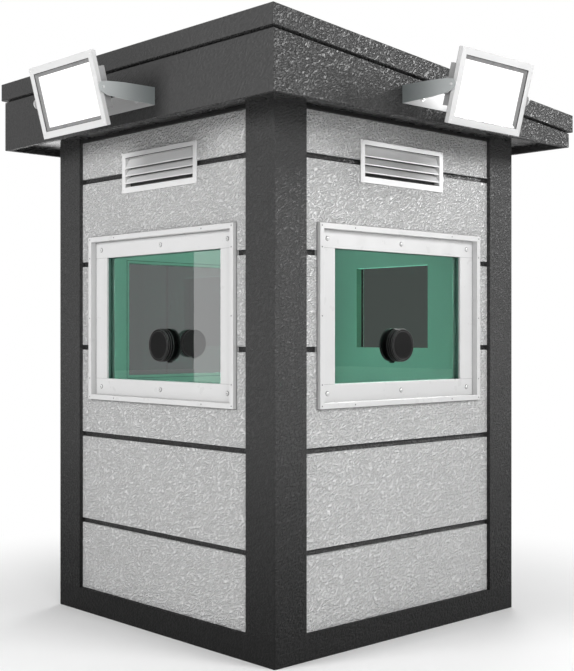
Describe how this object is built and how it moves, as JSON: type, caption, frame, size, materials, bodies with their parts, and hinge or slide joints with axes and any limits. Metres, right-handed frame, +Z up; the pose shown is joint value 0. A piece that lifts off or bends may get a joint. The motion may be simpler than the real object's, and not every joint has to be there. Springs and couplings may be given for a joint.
{
  "type": "security guard booth",
  "caption": "Square armoured guard cabin with glazed sides, speech ports, vent grilles, floodlights, a rear door and a sloping roof.",
  "frame": {"origin": "on the ground, at the centre of the square plan over the corner posts", "axes": "+Z up; the front with its window faces -Y, the door is in the rear (+Y) wall"},
  "size_m": [2.4758, 2.1709, 2.451],
  "materials": {
    "frame_paint": "textured dark grey paint on the posts and base frame",
    "floor_board": "matt anti-slip floor covering",
    "wall_core": "dark paint in the grooves, pale paint inside",
    "cladding": "pale grey stucco-textured boards",
    "trim_dark": "dark grey trim under the roof",
    "fascia_paint": "dark grey stucco-textured paint",
    "roof_paint": "dark grey painted sheet",
    "window_white": "white satin paint",
    "armoured_glass": "thick green-tinted laminated glass",
    "port_black": "black moulded plastic with turned grooves",
    "vent_white": "white satin paint",
    "door_paint": "pale grey stucco-textured door skin",
    "handle_steel": "brushed stainless steel",
    "hinge_dark": "dark grey paint",
    "yoke_grey": "light grey painted steel bar",
    "lamp_white": "white powder coat",
    "lamp_housing": "grey cast aluminium with fins",
    "lamp_lens": "bright white diffuser"
  },
  "bodies": {
    "booth": {"base_frame": "frame_paint", "post_front_right": "frame_paint", "post_front_left": "frame_paint", "post_rear_right": "frame_paint", "post_rear_left": "frame_paint", "door_frame": "frame_paint", "floor_deck": "floor_board", "front_wall": "wall_core", "right_wall": "wall_core", "left_wall": "wall_core", "rear_wall_right": "wall_core", "rear_wall_left": "wall_core", "front_cladding": "cladding", "right_cladding": "cladding", "left_cladding": "cladding", "rear_cladding": "cladding", "cornice_trim": "trim_dark", "soffit": "trim_dark", "fascia_front": "fascia_paint", "fascia_rear": "fascia_paint", "fascia_right": "fascia_paint", "fascia_left": "fascia_paint", "roof_cap": "roof_paint", "roof_sheet": "roof_paint", "window_frame_front": "window_white", "window_frame_right": "window_white", "window_frame_left": "window_white", "window_glass_front": "armoured_glass", "window_glass_right": "armoured_glass", "window_glass_left": "armoured_glass", "speech_ports": "port_black", "vent_grilles": "vent_white", "hinge_frame_halves": "hinge_dark", "lamp_yokes": "yoke_grey"},
    "door": {"door_leaf": "door_paint", "door_pane": "armoured_glass", "door_pane_trim": "window_white", "door_handle": "handle_steel", "hinge_door_halves": "hinge_dark"},
    "lamp_front": {"lamp_frame_front": "lamp_white", "lamp_back_front": "lamp_housing", "lamp_lens_front": "lamp_lens"},
    "lamp_right": {"lamp_frame_right": "lamp_white", "lamp_back_right": "lamp_housing", "lamp_lens_right": "lamp_lens"},
    "lamp_left": {"lamp_frame_left": "lamp_white", "lamp_back_left": "lamp_housing", "lamp_lens_left": "lamp_lens"}
  },
  "joints": [
    {"name": "door_hinge", "type": "hinge", "parent": "booth", "child": "door", "pos_m": [-0.3625, 0.75, 1.1], "axis": [0, 0, 1], "range_deg": [0, 100]},
    {"name": "lamp_tilt_front", "type": "hinge", "parent": "booth", "child": "lamp_front", "pos_m": [0, -1.177, 2.2245], "axis": [1, 0, 0], "range_deg": [-45, 60]},
    {"name": "lamp_tilt_right", "type": "hinge", "parent": "booth", "child": "lamp_right", "pos_m": [1.187, 0, 2.2245], "axis": [0, 1, 0], "range_deg": [-45, 60]},
    {"name": "lamp_tilt_left", "type": "hinge", "parent": "booth", "child": "lamp_left", "pos_m": [-1.187, 0, 2.2245], "axis": [0, -1, 0], "range_deg": [-45, 60]}
  ]
}
